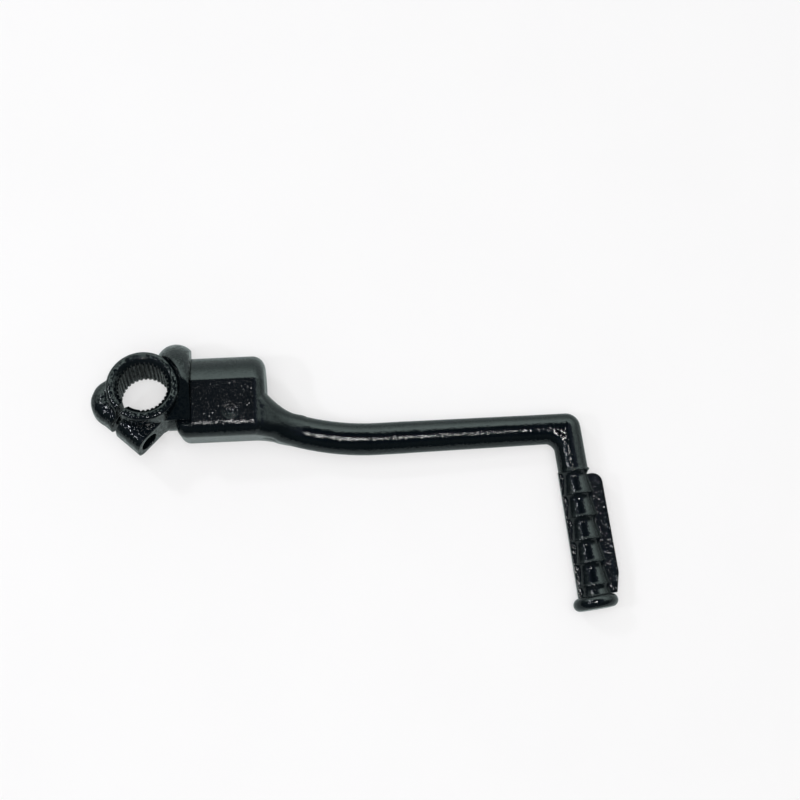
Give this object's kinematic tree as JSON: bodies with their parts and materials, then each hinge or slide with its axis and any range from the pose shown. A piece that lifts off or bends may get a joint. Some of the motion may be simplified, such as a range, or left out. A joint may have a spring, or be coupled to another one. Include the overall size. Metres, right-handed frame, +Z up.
{
  "type": "folding kick start lever",
  "caption": "Folding motorcycle kick start lever: splined pinch clamp hub, hinged forged arm with a bent rod and a ribbed foot tread, gloss black paint.",
  "frame": {"origin": "middle of the clamp's splined bore, on the kick shaft's axis", "axes": "+X along the fold pivot from the hub to the tread, +Z up as the folded lever lies on a table"},
  "size_m": [0.2174, 0.1195, 0.0385],
  "materials": {
    "hub_black_paint": "gloss black paint with orange peel",
    "arm_black_paint": "gloss black paint with orange peel",
    "painted_pin": "gloss black paint over a steel dowel",
    "ball_steel": "polished bearing steel",
    "spring_steel": "oiled spring steel"
  },
  "bodies": {
    "hub": {"clamp_hub": "hub_black_paint", "detent_ball": "ball_steel", "detent_spring": "spring_steel"},
    "arm": {"kick_arm": "arm_black_paint", "retaining_pin": "painted_pin"}
  },
  "joints": [
    {"name": "arm_fold", "type": "hinge", "parent": "hub", "child": "arm", "pos_m": [0, -0.0022, -0.00821], "axis": [1, 0, 0], "range_deg": [0, 75]}
  ]
}
